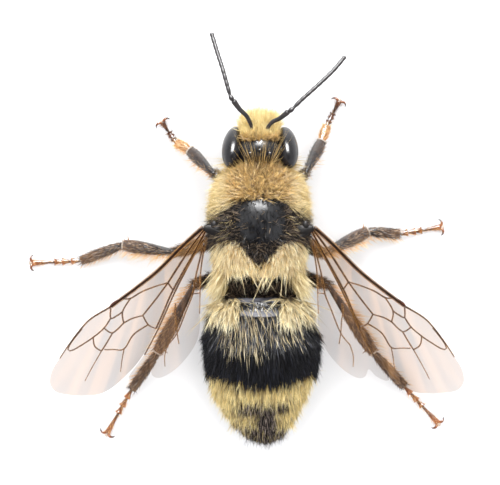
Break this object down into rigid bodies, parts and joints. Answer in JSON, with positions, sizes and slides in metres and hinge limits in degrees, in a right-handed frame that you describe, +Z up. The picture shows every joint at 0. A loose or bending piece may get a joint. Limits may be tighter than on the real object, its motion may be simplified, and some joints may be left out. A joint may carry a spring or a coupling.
{
  "type": "male bumblebee",
  "caption": "Life-size still model of a male bumblebee that stands on its feet, with its wings half spread over its hind legs and a coat in yellow and black bands.",
  "frame": {"origin": "centre of the foot of the whole bee's box, on the floor", "axes": "+Y the way the bee faces, +X its right side, +Z up"},
  "size_m": [0.0212, 0.0204, 0.0064],
  "materials": {
    "coat_yellow": "dense soft pile, straw yellow to golden",
    "coat_black": "dense soft pile, black",
    "shell": "black shell plates with fine pits and a soft gloss",
    "eye": "smooth black with a grey sheen",
    "feeler": "dull black with a grey bloom",
    "leg": "dark brown shell under short golden hair",
    "foot": "red brown, with black claw tips",
    "wing": "clear film with a brown tint and dark brown veins"
  },
  "bodies": {
    "root": {"abdomen_1": "coat_yellow", "abdomen_2": "coat_yellow", "abdomen_3": "coat_black", "abdomen_4": "coat_yellow", "abdomen_5": "coat_black", "abdomen_6": "coat_black", "abdomen_7": "coat_black", "basitarsus_front_left": "leg", "basitarsus_front_right": "leg", "basitarsus_hind_left": "leg", "basitarsus_hind_right": "leg", "basitarsus_middle_left": "leg", "basitarsus_middle_right": "leg", "coxa_front_left": "leg", "coxa_front_right": "leg", "coxa_hind_left": "leg", "coxa_hind_right": "leg", "coxa_middle_left": "leg", "coxa_middle_right": "leg", "eye_left": "eye", "eye_right": "eye", "femur_front_left": "leg", "femur_front_right": "leg", "femur_hind_left": "leg", "femur_hind_right": "leg", "femur_middle_left": "leg", "femur_middle_right": "leg", "flagellum_left": "feeler", "flagellum_right": "feeler", "forewing_left": "wing", "forewing_right": "wing", "head": "coat_yellow", "hindwing_left": "wing", "hindwing_right": "wing", "mandible_left": "shell", "mandible_right": "shell", "neck": "shell", "scape_left": "feeler", "scape_right": "feeler", "tarsus_front_left": "foot", "tarsus_front_right": "foot", "tarsus_hind_left": "foot", "tarsus_hind_right": "foot", "tarsus_middle_left": "foot", "tarsus_middle_right": "foot", "tegula_left": "shell", "tegula_right": "shell", "thorax": "coat_black", "tibia_front_left": "leg", "tibia_front_right": "leg", "tibia_hind_left": "leg", "tibia_hind_right": "leg", "tibia_middle_left": "leg", "tibia_middle_right": "leg", "waist": "shell"}
  },
  "joints": []
}
